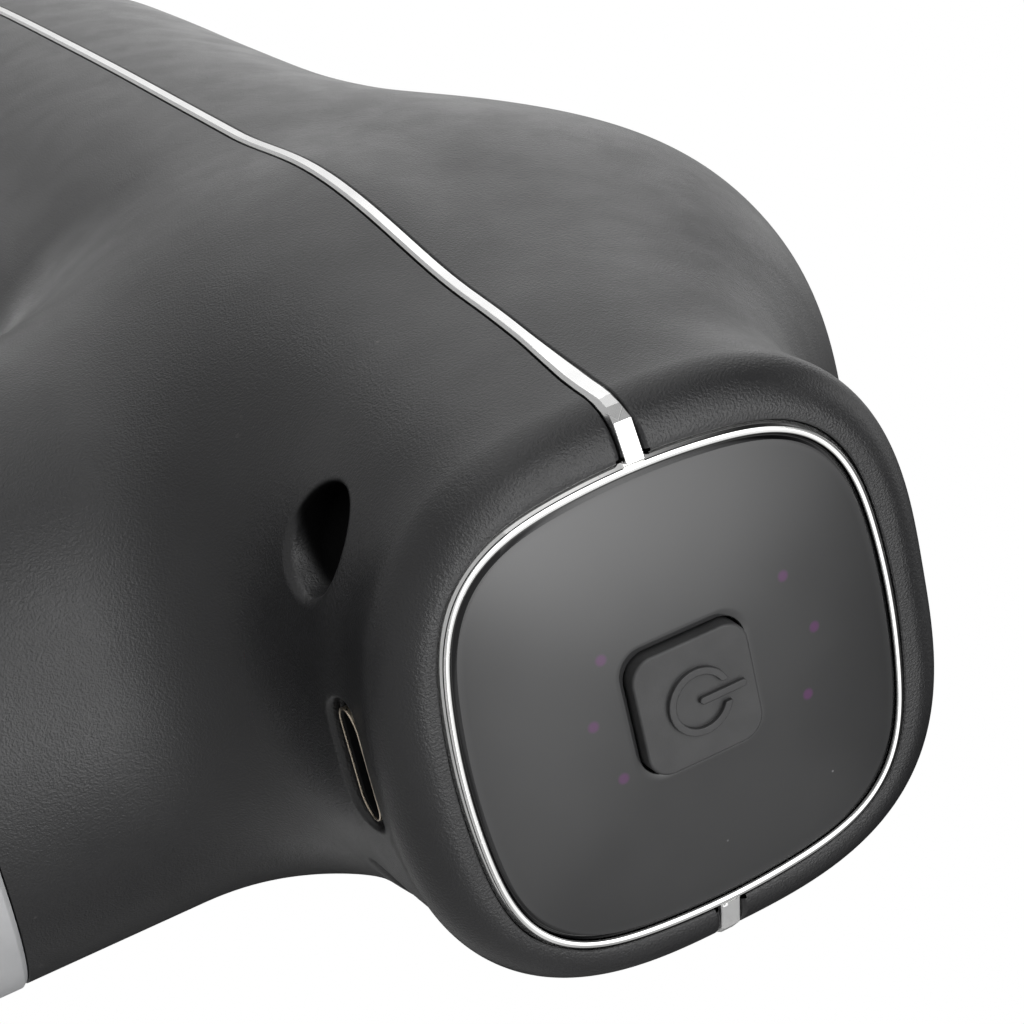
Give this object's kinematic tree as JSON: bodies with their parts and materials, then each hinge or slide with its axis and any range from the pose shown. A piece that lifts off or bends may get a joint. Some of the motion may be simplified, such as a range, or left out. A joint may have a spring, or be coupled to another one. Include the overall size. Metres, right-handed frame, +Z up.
{
  "type": "massage gun",
  "caption": "Cordless percussion massager with a barrel, a domed motor housing, a round battery handle, a rear control panel and a pull-off ball head.",
  "frame": {"origin": "centre of the flat foot under the handle, on the handle's axis", "axes": "+Z up along the handle, +Y towards the rear control panel, -Y towards the massage head, +X across the body"},
  "size_m": [0.0664, 0.2129, 0.2273],
  "materials": {
    "shell_plastic": "fine pebbled moulding texture, near black",
    "bright_trim": "bright plated, softly reflecting",
    "panel_gloss": "smoked glossy lens",
    "button_plastic": "satin, bright moulded edge",
    "diffuser": "milky",
    "led_body": "pink-purple",
    "switch_metal": "tinned",
    "circuit_board": "green solder mask",
    "screw_steel": "zinc plated",
    "screw_dark": "blackened",
    "socket_metal": "stamped shell, warm tint",
    "cast_aluminium": "die cast",
    "black_rubber": "matte",
    "bearing_steel": "ground",
    "laminated_steel": "stacked sheets",
    "copper_wire": "enamelled copper",
    "can_steel": "turned",
    "magnet_nickel": "nickel plated",
    "wheel_brass": "turned",
    "rod_aluminium": "milled",
    "plunger_aluminium": "polished",
    "bush_bronze": "sintered",
    "collar_plastic": "fine texture",
    "head_plastic": "smooth",
    "head_rubber": "soft skin, satin",
    "satin_ring": "satin anodised",
    "inner_plastic": "smooth",
    "grip_rubber": "matte silicone",
    "cell_pouch": "wrapped pouch cells",
    "lead_red": "silicone lead",
    "lead_yellow": "silicone lead"
  },
  "bodies": {
    "housing": {"upper_shell": "shell_plastic", "lower_shell": "shell_plastic", "side_trim_left": "bright_trim", "side_trim_right": "bright_trim", "rear_bezel": "bright_trim", "panel_lens": "panel_gloss", "light_guide": "diffuser", "status_leds": "led_body", "tact_switch": "switch_metal", "control_board": "circuit_board", "board_screws": "screw_steel", "usb_socket": "socket_metal", "shell_screws": "screw_dark", "chassis": "cast_aluminium", "chassis_dampers": "black_rubber", "chassis_screws": "screw_steel", "motor_base": "cast_aluminium", "motor_screws": "screw_steel", "motor_bearings": "bearing_steel", "stator_core": "laminated_steel", "stator_windings": "copper_wire", "guide_bush": "bush_bronze", "front_collar": "collar_plastic", "plunger_seal": "black_rubber", "handle_ring": "satin_ring", "handle_tube": "inner_plastic", "grip_sleeve": "grip_rubber", "battery_cells": "cell_pouch", "battery_frame": "inner_plastic", "protection_board": "circuit_board", "battery_leads": "lead_red", "motor_leads": "lead_yellow", "end_cap": "collar_plastic", "end_cap_screws": "screw_steel", "foot_pad": "black_rubber"},
    "button": {"power_button": "button_plastic"},
    "crank": {"rotor_can": "can_steel", "rotor_magnets": "magnet_nickel", "motor_shaft": "bearing_steel", "crank_wheel": "wheel_brass"},
    "rod": {"connecting_rod": "rod_aluminium", "rod_bearing": "bearing_steel", "crank_pin": "bearing_steel"},
    "drive_plunger": {"plunger": "plunger_aluminium", "wrist_pin": "bearing_steel"},
    "massage_head": {"head_stem": "head_plastic", "head_o_rings": "black_rubber", "head_ball": "head_rubber"}
  },
  "joints": [
    {"name": "crank_spin", "type": "hinge", "parent": "housing", "child": "crank", "pos_m": [0, -0.0095, 0.204], "axis": [0, 0, 1], "continuous": true},
    {"name": "plunger_slide", "type": "slide", "parent": "housing", "child": "drive_plunger", "axis": [0, -1, 0], "range_m": [0, 0.011]},
    {"name": "rod_swing", "type": "hinge", "parent": "drive_plunger", "child": "rod", "pos_m": [0, -0.04, 0.184], "axis": [0, 0, 1], "range_deg": [-8.7, 8.7]},
    {"name": "button_press", "type": "slide", "parent": "housing", "child": "button", "axis": [0, -1, 0], "range_m": [0, 0.0004], "stiffness_N_per_m": 2500},
    {"name": "head_pull", "type": "slide", "parent": "drive_plunger", "child": "massage_head", "axis": [0, -1, 0], "range_m": [0, 0.03]}
  ]
}
